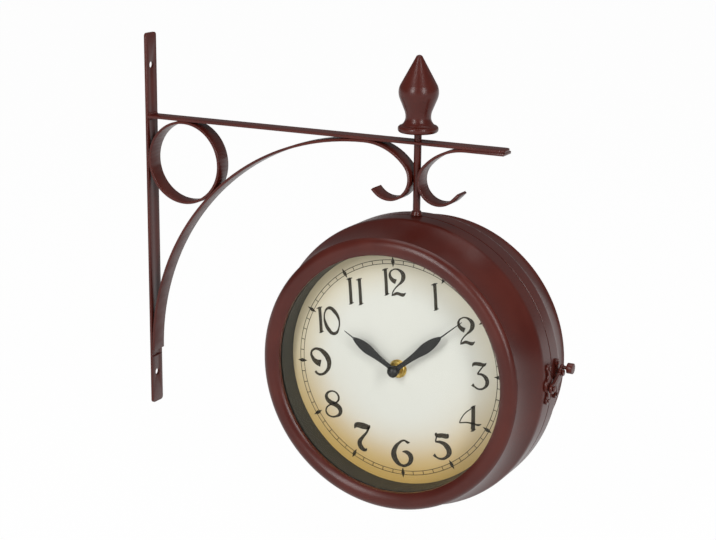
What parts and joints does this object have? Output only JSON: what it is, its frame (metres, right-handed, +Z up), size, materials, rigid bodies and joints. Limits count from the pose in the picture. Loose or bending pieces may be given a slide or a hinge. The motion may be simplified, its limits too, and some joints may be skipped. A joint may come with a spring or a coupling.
{
  "type": "double sided wall clock",
  "caption": "Round double sided clock in a hinged spun steel case with moulded bezels, hung by a rod from a scrolled flat-bar wall bracket with a corner ring, curved brace and turned finial.",
  "frame": {"origin": "on the wall plane, midway between the wall bar's two screw holes", "axes": "+X out from the wall along the arm, +Z up, -Y towards the viewer of the hinged (front) dial"},
  "size_m": [0.3541, 0.1, 0.3395],
  "materials": {
    "oxblood_paint": "semi-gloss oxblood enamel",
    "zinc_steel": "zinc plated",
    "clear_glass": "clear float glass",
    "printed_dial": "aged cream, printed",
    "black_plastic": "moulded black",
    "brass": "turned",
    "black_paint": "satin black",
    "arbor_steel": "turned",
    "cell_sleeve": "plain shrink sleeve"
  },
  "bodies": {
    "bracket": {"wall_bar": "oxblood_paint", "top_arm": "oxblood_paint", "corner_ring": "oxblood_paint", "brace": "oxblood_paint", "end_scroll": "oxblood_paint", "hanger_rod": "oxblood_paint", "finial": "oxblood_paint", "rod_collar": "oxblood_paint", "rod_washer": "zinc_steel", "rod_nut": "zinc_steel", "rear_shell": "oxblood_paint", "rear_glass": "clear_glass", "rear_sleeve": "black_plastic", "rear_dial": "printed_dial", "rear_retainer": "zinc_steel", "rear_movement": "black_plastic", "rear_bush": "brass", "rear_bush_washer": "brass", "rear_bush_nut": "brass", "rear_battery": "cell_sleeve", "hinge_leaf_rear": "oxblood_paint", "hinge_pin": "zinc_steel", "hinge_rivets_rear": "zinc_steel", "latch_plate_rear": "oxblood_paint", "latch_nails_rear": "zinc_steel", "latch_catch": "oxblood_paint"},
    "front_door": {"front_shell": "oxblood_paint", "front_glass": "clear_glass", "front_sleeve": "black_plastic", "front_dial": "printed_dial", "front_retainer": "zinc_steel", "front_movement": "black_plastic", "front_bush": "brass", "front_bush_washer": "brass", "front_bush_nut": "brass", "front_battery": "cell_sleeve", "hinge_leaf_front": "oxblood_paint", "hinge_rivets_front": "zinc_steel", "latch_plate_front": "oxblood_paint", "latch_nails_front": "zinc_steel", "latch_pivot": "oxblood_paint"},
    "latch_hook": {"latch_hook": "oxblood_paint"},
    "front_minute": {"front_minute_hand": "black_paint", "front_minute_arbor": "arbor_steel", "front_cap_nut": "black_paint"},
    "front_hour": {"front_hour_hand": "black_paint", "front_hour_tube": "brass"},
    "front_setter": {"front_set_wheel": "black_plastic"},
    "rear_minute": {"rear_minute_hand": "black_paint", "rear_minute_arbor": "arbor_steel", "rear_cap_nut": "black_paint"},
    "rear_hour": {"rear_hour_hand": "black_paint", "rear_hour_tube": "brass"},
    "rear_setter": {"rear_set_wheel": "black_plastic"}
  },
  "joints": [
    {"name": "case_hinge", "type": "hinge", "parent": "bracket", "child": "front_door", "pos_m": [0.1193, 0, -0.0795], "axis": [0, 0, -1], "range_deg": [0, 95]},
    {"name": "latch_swing", "type": "hinge", "parent": "front_door", "child": "latch_hook", "pos_m": [0.3445, -0.0084, -0.0819], "axis": [1, 0, 0], "range_deg": [0, 100]},
    {"name": "front_minute_turn", "type": "hinge", "parent": "front_door", "child": "front_minute", "pos_m": [0.232, -0.034, -0.0795], "axis": [0, 1, 0], "continuous": true},
    {"name": "front_hour_turn", "type": "hinge", "parent": "front_door", "child": "front_hour", "pos_m": [0.232, -0.031, -0.0795], "axis": [0, 1, 0], "continuous": true},
    {"name": "front_setter_turn", "type": "hinge", "parent": "front_door", "child": "front_setter", "pos_m": [0.232, -0.011, -0.065], "axis": [0, 1, 0], "continuous": true},
    {"name": "rear_minute_turn", "type": "hinge", "parent": "bracket", "child": "rear_minute", "pos_m": [0.232, 0.034, -0.0795], "axis": [0, -1, 0], "continuous": true},
    {"name": "rear_hour_turn", "type": "hinge", "parent": "bracket", "child": "rear_hour", "pos_m": [0.232, 0.031, -0.0795], "axis": [0, -1, 0], "continuous": true},
    {"name": "rear_setter_turn", "type": "hinge", "parent": "bracket", "child": "rear_setter", "pos_m": [0.232, 0.011, -0.065], "axis": [0, -1, 0], "continuous": true}
  ],
  "couplings": [
    {"joint": "front_hour_turn", "follows": "front_minute_turn", "ratio": 0.083333},
    {"joint": "front_setter_turn", "follows": "front_minute_turn", "ratio": -0.33333},
    {"joint": "rear_hour_turn", "follows": "rear_minute_turn", "ratio": 0.083333},
    {"joint": "rear_setter_turn", "follows": "rear_minute_turn", "ratio": -0.33333}
  ]
}
